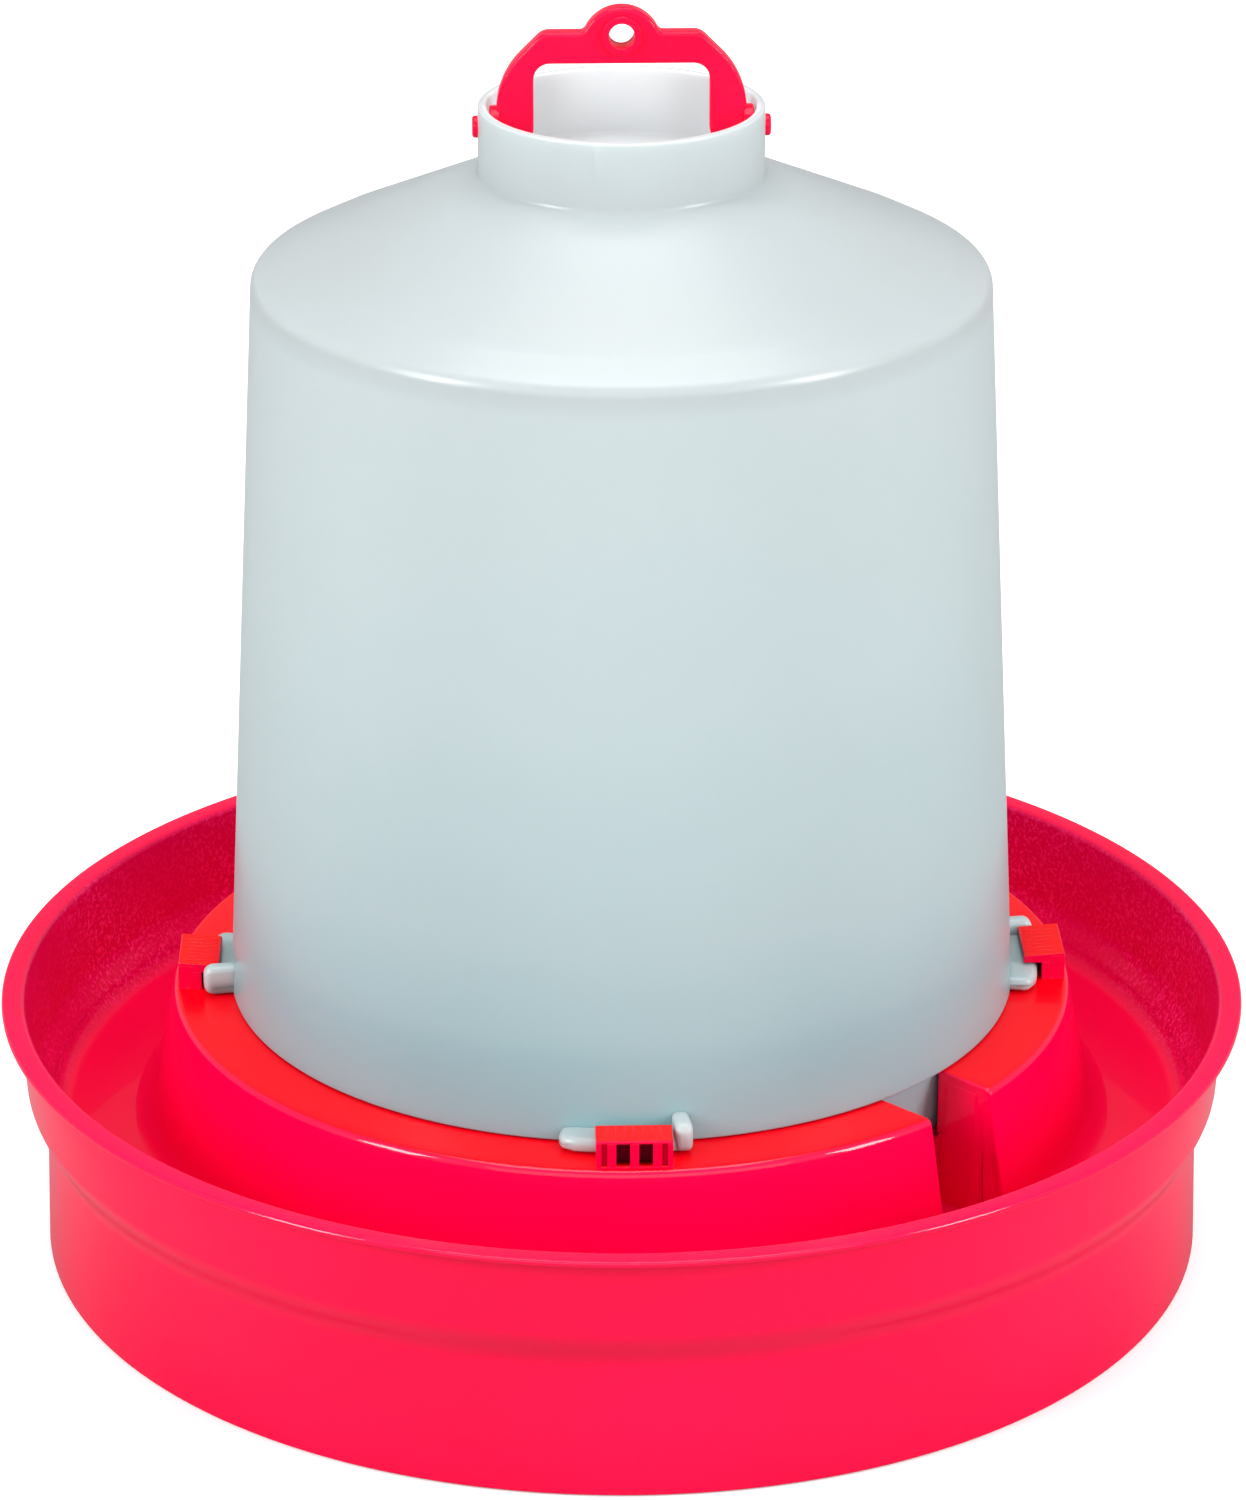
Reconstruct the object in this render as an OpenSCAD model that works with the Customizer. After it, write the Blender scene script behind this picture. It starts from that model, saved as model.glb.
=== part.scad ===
// Poultry waterer fount: a deep trough pan, a bottomless jug that twist-locks
// onto the pan's raised plinth, and a bail that swings in the jug's neck.
// The foot stands on z = 0, the jug's axis is Z, and the bail's pins lie along X.

/* [Pan] */
// Outer radius of the rim
rim_r = 160; // [150:1:170]
// Height of the rim above the ground
rim_z = 68; // [64:1:72]
// Width of the flat lip around the rim
lip_w = 5; // [4:0.5:7]
// Radius of the foot where it stands
foot_r = 150.2; // [148:0.2:152]
// Height of the trough floor
trough_z = 34; // [30:1:38]
// Thickness of the pan's walls
pan_wall = 2.3; // [1.8:0.1:2.6]
// Height of the plinth's ledge
ledge_z = 69.2; // [68:0.1:70]
// Radius of the ledge's outer edge
ledge_r = 115.6; // [114.8:0.2:117]
// Radius of the plinth where it meets the trough floor
plinth_foot_r = 122; // [120:0.5:125]
// Radius of the well that holds the jug's skirt
well_r = 98.6; // [98.2:0.1:99.2]
// Height of the platform inside the well
platform_z = 50.6; // [49:0.1:50.8]
// Clear width of the outlet channel
channel_w = 22; // [16:1:24]
// Distance of the channel's inner end from the axis
channel_start = 84; // [78:1:88]

/* [Lock] */
// Number of lock clips around the ledge, and of lugs on the jug
lock_count = 4; // [4:1:4]
// Length of a clip along the rim of the ledge
clip_len = 18.6; // [17:0.2:19]
// Inner radius of a clip's roof
clip_in_r = 103.5; // [103:0.1:105]
// Outer radius of a clip
clip_out_r = 114.1; // [113:0.1:114.6]
// Outer radius of a lug
lug_r = 107.4; // [106:0.1:107.8]
// Angle from a clip's middle to the free end of its lug
lug_lead = 10.1; // [9:0.1:11]
// Angle from a clip's middle to the heel of its lug
lug_heel = 7.9; // [7.6:0.1:9]

/* [Jug] */
// Radius of the jug at its lip
jug_lip_r = 100.8; // [100.4:0.1:101.2]
// Radius of the jug at its shoulder
jug_top_r = 91.2; // [88:0.2:94]
// Height of the lip, which sits just over the ledge
jug_lip_z = 69.5; // [69.5:0.1:70]
// Height of the corner between the side and the shoulder
shoulder_z = 258.4; // [240:1:265]
// Thickness of the jug's wall
jug_wall_t = 2; // [1.6:0.1:2.4]
// Outer radius of the skirt below the lip
skirt_r = 97.4; // [96.5:0.1:97.6]
// Height of the skirt's lower edge
skirt_z = 51; // [50.9:0.1:52]

/* [Neck] */
// Outer radius of the neck collar
neck_r = 35.05; // [34.8:0.05:35.4]
// Inner radius of the neck collar
neck_in_r = 32.8; // [32.7:0.05:33]
// Height where the shoulder meets the collar
neck_root_z = 283.85; // [280:0.5:286]
// Height of the collar's rim
neck_top_z = 300.9; // [300.5:0.1:302]

/* [Bail] */
// Height of the pins' axis
pivot_z = 295.4; // [295:0.1:296]
// Radius of the pins
pin_r = 2.7; // [2.2:0.1:3]
// Radial clearance between a pin and its hole
pin_gap = 0.08; // [0.05:0.01:0.1]
// Half the length from pin end to pin end
pin_reach = 36.4; // [36:0.1:37]
// Thickness of the bail's plate
bail_t = 5.2; // [4:0.2:5.6]
// Half the width of the bail across its legs
bail_half_w = 30.45; // [30:0.05:30.6]
// Half the width of the finger window
window_half_w = 21.4; // [20:0.2:22.5]
// Height of the underside of the grip
grip_low_z = 311.5; // [309:0.5:312.5]
// Height of the top of the grip
grip_top_z = 319.2; // [318:0.1:321]
// Radius of the hub's arc above the grip
hub_r = 9.8; // [9.4:0.1:10.4]
// Height of the top of the hub
hub_top_z = 325.4; // [325:0.1:326]
// Radius of the hanging hole
hang_r = 3.1; // [2.4:0.1:3.4]
// Height of the hanging hole
hang_z = 318.5; // [318:0.1:319]

/* [Hidden] */
$fn = 128;

red = [0.93, 0.06, 0.18];
milky = [0.80, 0.86, 0.87];
step = 360 / lock_count;
// Overlap that keeps a cut clear of the face it passes
slip = 1;
// Small bevel on edges that stay sharp to the eye
bevel = 0.5;

// Trough wall: the foot skirt leans in, the step curves out, and the band rises to the lip
step_low_z = trough_z - pan_wall;
skirt_top_r = foot_r - 0.9;
wall_in_r = skirt_top_r - pan_wall;
band_low_z = 46.5;
band_low_r = rim_r - 5.6;
band_top_r = rim_r - 4.5;
lip_t = 2;
lip_edge = lip_t / 2;
lip_blend = 3;
lip_in_r = rim_r - lip_w - 1;
lip_in_round = 1.6;
band_in_top_z = rim_z - 6;

// Plinth
ledge_round = 2;
ledge_low_z = ledge_z - pan_wall;

// The channel runs outward midway between two clips
channel_turn = -step / 2;
channel_side = pan_wall;
channel_out_w = channel_w + 2 * channel_side;
// How far a cut along the channel runs past the plinth
channel_over = 20;

// Heights inside a clip, measured up from the ledge
clip_roof_low = 4.7;
clip_roof_in = 6.6;
clip_roof_out = 7.4;
clip_pocket_floor = 1.3;
clip_pocket_top = 6.5;
post_in_r = 108.2;
post_out_r = 110.4;
rib_w = 2.2;
rib_pitch = 5.5;

// Lug sizes
lug_low_z = jug_lip_z;
lug_top_z = ledge_z + 4.2;
fin_top_z = ledge_z + 8;
fin_angle = 2.6;
fin_r = lug_r + 0.8;
lug_tip = 5;
lead_in_a = 45;

// The jug's side and its shoulder meet above this height
side_top_z = shoulder_z - 6;
side_slope = (jug_lip_r - jug_top_r) / (shoulder_z - jug_lip_z);
side_top_r = side_r(side_top_z);
lip_step_z = jug_lip_z + 2.2;
neck_floor_z = neck_root_z - jug_wall_t;
skirt_t = 2.1;
skirt_lean = 1.2;
skirt_bend_z = jug_lip_z - 3;
// The shoulder: a small round at the side, then a bend, then a cone up to the collar
shoulder_round = 4;
shoulder_round_r = jug_top_r - 4.2;
shoulder_round_z = shoulder_z - 3.4;
shoulder_end_a = 62;
bend_r = jug_top_r - 9.8;
bend_z = shoulder_z + 5;
// The bend's inner corner, about one wall in
bend_in_r = bend_r - 0.8;
bend_in_z = bend_z - 2.2;
collar_round = 0.5;

// Bail outline: a large arc from the leg, a short slope at 45 degrees, and a small arc to the top
corner_r = 4;
arc_r = 20.4;
arc_x = bail_half_w - arc_r;
arc_z = pivot_z + 4.1;
slope_a = 45;
split_a = asin((grip_low_z - arc_z) / arc_r);
top_round = 4.1;
top_round_z = grip_top_z - top_round;
top_round_x = arc_x + arc_z + arc_r * sqrt(2) - top_round * sqrt(2) - top_round_z;
leg_end_r = (bail_half_w - window_half_w) / 2;
boss_r = 5.2;
boss_reach = 32.2;
hub_z = hub_top_z - hub_r;
ring_r = 4.4;
ring_rise = 0.5;
pin_bevel = 0.7;

// Points along an arc in a plane, from angle a0 to angle a1
function arc(cx, cy, r, a0, a1, n = 8) =
    [for (i = [0 : n]) let (a = a0 + (a1 - a0) * i / n) [cx + r * cos(a), cy + r * sin(a)]];

// Outer radius of the curved step, from 0 at its foot to 1 at the band
function step_r(t) = skirt_top_r + (band_low_r - skirt_top_r) * t * t * (3 - 2 * t);

// Points up the step, moved in by the inset
function step_curve(inset, n = 7) =
    [for (i = [0 : n]) [step_r(i / n) - inset, trough_z + (band_low_z - trough_z) * i / n]];

// Outer radius of the plinth's sloping wall at a height
function plinth_r(z) =
    plinth_foot_r + (ledge_r - plinth_foot_r) * (z - trough_z) / (ledge_z - ledge_round - trough_z);

// Outer radius of the jug's side at a height
function side_r(z) = jug_lip_r - side_slope * (z - jug_lip_z);

// The same points in the opposite order
function backwards(list) = [for (i = [len(list) - 1 : -1 : 0]) list[i]];

// ---- Pan ----

module trough_wall() {
    color(red)
        rotate_extrude()
            polygon(concat(
                [[band_low_r, band_low_z]],
                arc(band_top_r + lip_blend, rim_z - lip_t - lip_blend, lip_blend, 180, 90, 4),
                arc(rim_r - lip_edge, rim_z - lip_edge, lip_edge, -90, 90),
                arc(lip_in_r + lip_in_round, rim_z - lip_in_round, lip_in_round, 90, 180),
                [[band_top_r - pan_wall, band_in_top_z], [band_low_r - pan_wall, band_low_z]]
            ));
}

module wall_step() {
    color(red)
        rotate_extrude()
            polygon(concat(
                [[wall_in_r, step_low_z], [skirt_top_r, step_low_z]],
                step_curve(0),
                backwards(step_curve(pan_wall))
            ));
}

module foot_skirt() {
    color(red)
        rotate_extrude()
            polygon([
                [foot_r - pan_wall, 0],
                [foot_r - bevel, 0],
                [foot_r, bevel],
                [skirt_top_r, step_low_z],
                [wall_in_r, step_low_z]
            ]);
}

module trough_floor() {
    color(red)
        rotate_extrude()
            polygon([
                [plinth_foot_r, step_low_z],
                [wall_in_r, step_low_z],
                [wall_in_r, trough_z],
                [plinth_foot_r, trough_z]
            ]);
}

// Block along the outlet channel, for cutting it out of its neighbours
module channel_block(width, start, low, high) {
    rotate([0, 0, channel_turn])
        translate([start, -width / 2, low])
            cube([plinth_foot_r + channel_over - start, width, high - low]);
}

// A ring of the plinth, open where the outlet channel passes
module plinth_part(points) {
    color(red)
        difference() {
            rotate_extrude()
                polygon(points);
            channel_block(channel_out_w, channel_start, step_low_z - slip, ledge_z + slip);
        }
}

module plinth_wall() {
    plinth_part([
        [plinth_foot_r - pan_wall, step_low_z],
        [plinth_foot_r, step_low_z],
        [plinth_foot_r, trough_z],
        [plinth_r(ledge_low_z), ledge_low_z],
        [plinth_r(ledge_low_z) - pan_wall, ledge_low_z]
    ]);
}

module plinth_ledge() {
    plinth_part(concat(
        [[well_r, ledge_low_z], [plinth_r(ledge_low_z), ledge_low_z]],
        arc(ledge_r - ledge_round, ledge_z - ledge_round, ledge_round, 0, 90),
        [[well_r, ledge_z]]
    ));
}

module well_wall() {
    plinth_part([
        [well_r, platform_z - pan_wall],
        [well_r + pan_wall, platform_z - pan_wall],
        [well_r + pan_wall, ledge_low_z],
        [well_r, ledge_low_z]
    ]);
}

module well_platform() {
    color(red)
        difference() {
            translate([0, 0, platform_z - pan_wall])
                cylinder(r = well_r, h = pan_wall);
            channel_block(channel_out_w, channel_start - channel_side, step_low_z, platform_z + slip);
        }
}

module outlet_channel() {
    color(red)
        difference() {
            intersection() {
                rotate_extrude()
                    polygon(concat(
                        [[0, step_low_z], [plinth_foot_r, step_low_z], [plinth_foot_r, trough_z]],
                        arc(ledge_r - ledge_round, ledge_z - ledge_round, ledge_round, 0, 90),
                        [[well_r, ledge_z], [well_r, platform_z], [0, platform_z]]
                    ));
                channel_block(channel_out_w, channel_start - channel_side, step_low_z - slip, ledge_z + slip);
            }
            channel_block(channel_w, channel_start, trough_z, ledge_z + 2 * slip);
        }
}

// One lock clip, built on the +X side of the ledge
module lock_clip() {
    half = clip_len / 2;
    color(red)
        translate([0, 0, ledge_z]) {
            // roof, lower along its inner edge
            translate([0, half, 0])
                rotate([90, 0, 0])
                    linear_extrude(clip_len)
                        polygon([
                            [clip_in_r, clip_roof_low],
                            [post_out_r, clip_roof_low],
                            [post_out_r, clip_pocket_top],
                            [clip_out_r, clip_pocket_top],
                            [clip_out_r, clip_roof_out - bevel],
                            [clip_out_r - bevel, clip_roof_out],
                            [clip_in_r, clip_roof_in]
                        ]);
            // wall behind the lug, and the floor of the pockets
            translate([post_in_r, -half, 0])
                cube([post_out_r - post_in_r, clip_len, clip_roof_low]);
            translate([post_out_r, -half, 0])
                cube([clip_out_r - post_out_r, clip_len, clip_pocket_floor]);
            for (i = [-1 : 1])
                translate([post_out_r, i * rib_pitch - rib_w / 2, clip_pocket_floor])
                    cube([clip_out_r - post_out_r, rib_w, clip_pocket_top - clip_pocket_floor]);
        }
}

module lock_clip_front() { rotate([0, 0, -90]) lock_clip(); }

module lock_clip_right() { lock_clip(); }

module lock_clip_back() { rotate([0, 0, 90]) lock_clip(); }

module lock_clip_left() { rotate([0, 0, 180]) lock_clip(); }

// ---- Jug ----

module jug_side() {
    color(milky, 0.8)
        rotate_extrude()
            polygon([
                [side_r(lip_step_z) - jug_wall_t, lip_step_z],
                [side_r(lip_step_z), lip_step_z],
                [side_top_r, side_top_z],
                [side_top_r - jug_wall_t, side_top_z]
            ]);
}

module jug_shoulder() {
    color(milky, 0.8)
        rotate_extrude()
            polygon(concat(
                [[side_top_r - jug_wall_t, side_top_z], [side_top_r, side_top_z]],
                arc(shoulder_round_r, shoulder_round_z, shoulder_round, 2, shoulder_end_a),
                [[bend_r, bend_z], [neck_r, neck_root_z], [neck_r, neck_floor_z], [bend_in_r, bend_in_z]],
                arc(shoulder_round_r, shoulder_round_z, shoulder_round - jug_wall_t, shoulder_end_a, 2, 4)
            ));
}

module jug_skirt() {
    color(milky, 0.8)
        rotate_extrude()
            polygon([
                [skirt_r - skirt_lean - skirt_t, skirt_z],
                [skirt_r - skirt_lean, skirt_z],
                [skirt_r, skirt_bend_z],
                [skirt_r, jug_lip_z],
                [jug_lip_r - bevel, jug_lip_z],
                [side_r(jug_lip_z + bevel), jug_lip_z + bevel],
                [side_r(lip_step_z), lip_step_z],
                [skirt_r - skirt_t, lip_step_z]
            ]);
}

module neck_collar() {
    color(milky, 0.8)
        difference() {
            rotate_extrude()
                polygon([
                    [neck_in_r, neck_floor_z],
                    [neck_r, neck_floor_z],
                    [neck_r, neck_top_z - collar_round],
                    [neck_r - collar_round, neck_top_z],
                    [neck_in_r + collar_round, neck_top_z],
                    [neck_in_r, neck_top_z - collar_round]
                ]);
            translate([0, 0, pivot_z])
                rotate([0, 90, 0])
                    cylinder(r = pin_r + pin_gap, h = 2 * (neck_r + slip), center = true);
        }
}

module neck_floor() {
    color(milky, 0.8)
        translate([0, 0, neck_floor_z])
            cylinder(r = neck_in_r, h = jug_wall_t);
}

// A bar round the jug from its side out to a radius, over part of a turn
module lug_bar(from_a, turn_a, out_r, top_z) {
    rotate([0, 0, from_a])
        rotate_extrude(angle = turn_a)
            polygon([
                [side_r(lug_low_z), lug_low_z],
                [out_r, lug_low_z],
                [out_r, top_z],
                [side_r(top_z), top_z]
            ]);
}

// One lug on the +X side: a bar under the clip's roof and a stop fin at its heel
module jug_lug() {
    color(milky, 0.8)
        difference() {
            union() {
                lug_bar(-lug_lead, lug_lead + lug_heel, lug_r, lug_top_z);
                lug_bar(lug_heel - fin_angle, fin_angle, fin_r, fin_top_z);
            }
            // slanted lead-in at the free end
            rotate([0, 0, -lug_lead])
                translate([lug_r, 0, lug_low_z - slip])
                    rotate([0, 0, lead_in_a])
                        translate([-lug_tip / 2, -lug_tip, 0])
                            cube([2 * lug_tip, 1.5 * lug_tip, lug_top_z - lug_low_z + 2 * slip]);
        }
}

module jug_lug_front() { rotate([0, 0, -90]) jug_lug(); }

module jug_lug_right() { jug_lug(); }

module jug_lug_back() { rotate([0, 0, 90]) jug_lug(); }

module jug_lug_left() { rotate([0, 0, 180]) jug_lug(); }

// ---- Bail ----

// Carries an outline drawn in X and Z to the bail's plate
module plate(thickness = bail_t) {
    translate([0, thickness / 2, 0])
        rotate([90, 0, 0])
            linear_extrude(thickness)
                children();
}

// One arm of the grip on the +X side, from the hub out over the leg
module grip_arm() {
    color(red)
        difference() {
            plate()
                polygon(concat(
                    [[0, grip_low_z]],
                    arc(arc_x, arc_z, arc_r, split_a, slope_a, 2),
                    arc(top_round_x, top_round_z, top_round, slope_a, 90, 4),
                    [[0, grip_top_z]]
                ));
            translate([0, 0, hub_z])
                rotate([90, 0, 0])
                    cylinder(r = hub_r, h = bail_t + 2 * slip, center = true);
        }
}

module grip_arm_right() { grip_arm(); }

module grip_arm_left() { mirror([1, 0, 0]) grip_arm(); }

// Round boss in the middle of the grip, with the hanging hole and its raised rings
module bail_hub() {
    color(red)
        difference() {
            union() {
                intersection() {
                    translate([0, 0, hub_z])
                        rotate([90, 0, 0])
                            cylinder(r = hub_r, h = bail_t, center = true);
                    translate([-hub_r - slip, -bail_t, grip_low_z])
                        cube([2 * (hub_r + slip), 2 * bail_t, hub_top_z - grip_low_z + slip]);
                }
                translate([0, 0, hang_z])
                    rotate([90, 0, 0])
                        cylinder(r = ring_r, h = bail_t + 2 * ring_rise, center = true);
            }
            translate([0, 0, hang_z])
                rotate([90, 0, 0])
                    cylinder(r = hang_r, h = 2 * bail_t, center = true);
        }
}

// One leg on the +X side, from the grip's rounded inner corner down to its round end
module bail_leg() {
    color(red)
        plate()
            polygon(concat(
                arc(window_half_w - corner_r, grip_low_z - corner_r, corner_r, 90, 0, 6),
                arc(window_half_w + leg_end_r, pivot_z, leg_end_r, 180, 360, 12),
                arc(arc_x, arc_z, arc_r, 0, split_a, 6)
            ));
}

module bail_leg_right() { bail_leg(); }

module bail_leg_left() { mirror([1, 0, 0]) bail_leg(); }

// One pin on the +X side: a round shoulder inside the neck and a bevelled pin through it
module pivot_pin() {
    color(red)
        translate([bail_half_w, 0, pivot_z])
            rotate([0, 90, 0]) {
                cylinder(r = boss_r, h = boss_reach - bail_half_w);
                rotate_extrude()
                    polygon([
                        [0, 0],
                        [pin_r, 0],
                        [pin_r, pin_reach - bail_half_w - pin_bevel],
                        [pin_r - pin_bevel, pin_reach - bail_half_w],
                        [0, pin_reach - bail_half_w]
                    ]);
            }
}

module pivot_pin_right() { pivot_pin(); }

module pivot_pin_left() { mirror([1, 0, 0]) pivot_pin(); }

trough_wall();
wall_step();
foot_skirt();
trough_floor();
plinth_wall();
plinth_ledge();
well_wall();
well_platform();
outlet_channel();
lock_clip_front();
lock_clip_right();
lock_clip_back();
lock_clip_left();
jug_side();
jug_shoulder();
jug_skirt();
neck_collar();
neck_floor();
jug_lug_front();
jug_lug_right();
jug_lug_back();
jug_lug_left();
grip_arm_left();
grip_arm_right();
bail_hub();
bail_leg_left();
bail_leg_right();
pivot_pin_left();
pivot_pin_right();
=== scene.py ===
import math
import bpy
import numpy as np
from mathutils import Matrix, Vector


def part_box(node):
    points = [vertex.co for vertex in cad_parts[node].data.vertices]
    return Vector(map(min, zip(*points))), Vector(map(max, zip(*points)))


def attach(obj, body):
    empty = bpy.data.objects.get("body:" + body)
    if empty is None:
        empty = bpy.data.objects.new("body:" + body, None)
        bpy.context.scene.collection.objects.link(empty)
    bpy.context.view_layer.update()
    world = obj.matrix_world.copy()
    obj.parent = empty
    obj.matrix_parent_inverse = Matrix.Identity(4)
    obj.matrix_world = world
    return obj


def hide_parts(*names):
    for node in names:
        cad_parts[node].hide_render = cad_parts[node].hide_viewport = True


# A poultry drinker: red pan, milky jug and red bail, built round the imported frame.
# Working sizes are millimetres, turned to metres when a mesh is made.

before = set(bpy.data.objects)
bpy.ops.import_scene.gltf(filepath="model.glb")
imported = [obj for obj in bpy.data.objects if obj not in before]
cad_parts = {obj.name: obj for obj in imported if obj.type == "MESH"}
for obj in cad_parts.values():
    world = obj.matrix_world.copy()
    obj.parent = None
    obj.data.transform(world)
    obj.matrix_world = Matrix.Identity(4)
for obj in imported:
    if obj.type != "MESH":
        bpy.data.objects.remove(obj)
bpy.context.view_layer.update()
print("frame loaded:", len(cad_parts), "nodes")

mm = 0.001


def boxMm(node):
    # lowest and highest corner of a CAD node, in millimetres
    low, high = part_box(node)
    return np.array(low) / mm, np.array(high) / mm


wallHigh = boxMm("trough_wall")[1]
footHigh = boxMm("foot_skirt")[1]
floorLow, floorHigh = boxMm("trough_floor")
ledgeHigh = boxMm("plinth_ledge")[1]
platHigh = boxMm("well_platform")[1]
sideLow = boxMm("jug_side")[0]
jugSkirtLow = boxMm("jug_skirt")[0]
collarLow, collarHigh = boxMm("neck_collar")
gripLow, gripHigh = boxMm("grip_arm_right")
hubHigh = boxMm("bail_hub")[1]
legLow, legHigh = boxMm("bail_leg_right")
pinLow, pinHigh = boxMm("pivot_pin_right")


def arcPoints(cx, cz, radius, fromDeg, toDeg, count):
    # centre plus radius times (cosine, sine) of evenly spaced angles
    a = np.radians(np.linspace(fromDeg, toDeg, count))
    return np.column_stack([cx + radius * np.cos(a), cz + radius * np.sin(a)])


def roundCorner(before, corner, after, radius, count=7):
    # arc that touches both lines leaving a corner, as a list of points
    before, corner, after = (np.array(p, float) for p in (before, corner, after))
    inDir = (before - corner) / np.linalg.norm(before - corner)
    outDir = (after - corner) / np.linalg.norm(after - corner)
    half = np.arccos(np.clip(inDir @ outDir, -1, 1)) / 2
    reach = radius / np.tan(half)
    between = (inDir + outDir) / np.linalg.norm(inDir + outDir)
    middle = corner + between * radius / np.sin(half)
    start, end = corner + inDir * reach, corner + outDir * reach
    a0 = np.arctan2(*(start - middle)[::-1])
    turn = (np.arctan2(*(end - middle)[::-1]) - a0 + np.pi) % (2 * np.pi) - np.pi
    a = a0 + turn * np.linspace(0, 1, count)
    return middle + radius * np.column_stack([np.cos(a), np.sin(a)])


def softOutline(corners, closed=True):
    # corners are (across, up, rounding radius); straight lines between rounded corners
    points = []
    n = len(corners)
    for i, (x, z, radius) in enumerate(corners):
        if radius <= 0 or (not closed and i in (0, n - 1)):
            points.append(np.array([[x, z]], float))
            continue
        points.append(roundCorner(corners[i - 1][:2], (x, z), corners[(i + 1) % n][:2], radius))
    return np.vstack(points)


def refine(points, longest, closed=True):
    # straight stretches cut into steps no longer than `longest`
    out = []
    n = len(points)
    for i in range(n if closed else n - 1):
        a, b = points[i], points[(i + 1) % n]
        steps = max(1, int(np.ceil(np.linalg.norm(b - a) / longest)))
        out.append(a + (b - a) * (np.arange(steps) / steps)[:, None])
    if not closed:
        out.append(points[-1:])
    return np.vstack(out)


def gridFaces(rows, cols, wrapRows=False, wrapCols=False):
    # quads of a rows by cols grid, joined up where a direction wraps
    i = np.arange(rows if wrapRows else rows - 1)
    j = np.arange(cols if wrapCols else cols - 1)
    i, j = (g.ravel() for g in np.meshgrid(i, j, indexing="ij"))
    i2, j2 = (i + 1) % rows, (j + 1) % cols
    return np.column_stack([i * cols + j, i * cols + j2, i2 * cols + j2, i2 * cols + j])


def makePiece(name, verts, faces, material, sharpDeg=35.0):
    mesh = bpy.data.meshes.new(name)
    mesh.from_pydata((np.asarray(verts) * mm).tolist(), [], [list(map(int, f)) for f in faces])
    mesh.validate()
    mesh.update()
    mesh.polygons.foreach_set("use_smooth", np.ones(len(mesh.polygons), bool))
    mesh.set_sharp_from_angle(angle=math.radians(sharpDeg))
    mesh.materials.append(material)
    piece = bpy.data.objects.new(name, mesh)
    bpy.context.scene.collection.objects.link(piece)
    return piece


def turned(outline, columns, ripple=None):
    # closed outline (radius, height), its outer side running up, turned about Z:
    # (r cos a, r sin a, z), then moved by the ripple if there is one
    a = np.linspace(0, 2 * np.pi, columns, endpoint=False)
    r, z = outline[:, 0][None, :], outline[:, 1][None, :]
    x, y, zz = r * np.cos(a)[:, None], r * np.sin(a)[:, None], z + 0 * a[:, None]
    if ripple is not None:
        x, y, zz = ripple(x, y, zz)
    verts = np.stack([x, y, zz], -1).reshape(-1, 3)
    return verts, gridFaces(columns, len(outline), wrapRows=True, wrapCols=True)[:, ::-1]


def turnPoints(points, degrees):
    # turned about Z
    c, s = math.cos(math.radians(degrees)), math.sin(math.radians(degrees))
    x, y = points[:, 0], points[:, 1]
    return np.column_stack([c * x - s * y, s * x + c * y, points[:, 2]])


def prism(section, low, high):
    # section (x, z) carried along Y from low to high, with flat ends
    n = len(section)
    ends = [np.column_stack([section[:, 0], np.full(n, y), section[:, 1]]) for y in (low, high)]
    sides = [[i, (i + 1) % n, n + (i + 1) % n, n + i] for i in range(n)]
    return np.vstack(ends), sides + [list(range(n))[::-1], list(range(n, 2 * n))]


def joined(parts):
    # several (verts, faces) as one
    verts, faces, start = [], [], 0
    for v, f in parts:
        verts.append(v)
        faces += [[start + int(i) for i in face] for face in f]
        start += len(v)
    return np.vstack(verts), faces


def boxPart(low, high):
    (x0, y0, z0), (x1, y1, z1) = low, high
    section = np.array([[x0, z0], [x1, z0], [x1, z1], [x0, z1]], float)
    return prism(section, y0, y1)


def rounded(piece, width, segments, angleDeg=40):
    bevel = piece.modifiers.new("edges", "BEVEL")
    bevel.width = width * mm
    bevel.segments = segments
    bevel.limit_method = "ANGLE"
    bevel.angle_limit = math.radians(angleDeg)


def newGroup(name, inputs, outputs):
    group = bpy.data.node_groups.new(name, "ShaderNodeTree")
    for label, kind, value in inputs:
        socket = group.interface.new_socket(name=label, in_out="INPUT", socket_type=kind)
        socket.default_value = value
    for label, kind in outputs:
        group.interface.new_socket(name=label, in_out="OUTPUT", socket_type=kind)
    return group, group.nodes.new("NodeGroupInput"), group.nodes.new("NodeGroupOutput")


def feed(tree, node, values):
    # each input takes another node's output, a colour or a number
    for label, value in values.items():
        socket = node.inputs[label]
        if isinstance(value, bpy.types.NodeSocket):
            tree.links.new(value, socket)
        else:
            socket.default_value = (*value, 1) if socket.type == "RGBA" else value


def addNode(tree, kind, values=None, **settings):
    node = tree.nodes.new("ShaderNode" + kind)
    for label, setting in settings.items():
        setattr(node, label, setting)
    feed(tree, node, values or {})
    return node


def objectPlace(tree):
    return addNode(tree, "TexCoord").outputs["Object"]


def split(tree, vector):
    # X, Y and Z of a vector
    return addNode(tree, "SeparateXYZ", {0: vector}).outputs


def mathOf(tree, operation, *values, clamp=False):
    return addNode(tree, "Math", dict(enumerate(values)), operation=operation, use_clamp=clamp).outputs[0]


def vectorOf(tree, operation, *values):
    node = addNode(tree, "VectorMath", dict(enumerate(values)), operation=operation)
    return node.outputs["Value" if operation in ("LENGTH", "DOT_PRODUCT") else "Vector"]


def flatPlace(tree):
    # place on the object with its height taken out; its length is the distance from the Z axis
    return vectorOf(tree, "MULTIPLY", objectPlace(tree), (1, 1, 0))


def noise(tree, place, scale, detail=2.0, rough=0.5):
    values = {"Vector": place, "Scale": scale, "Detail": detail, "Roughness": rough}
    return addNode(tree, "TexNoise", values).outputs["Fac"]


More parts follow.
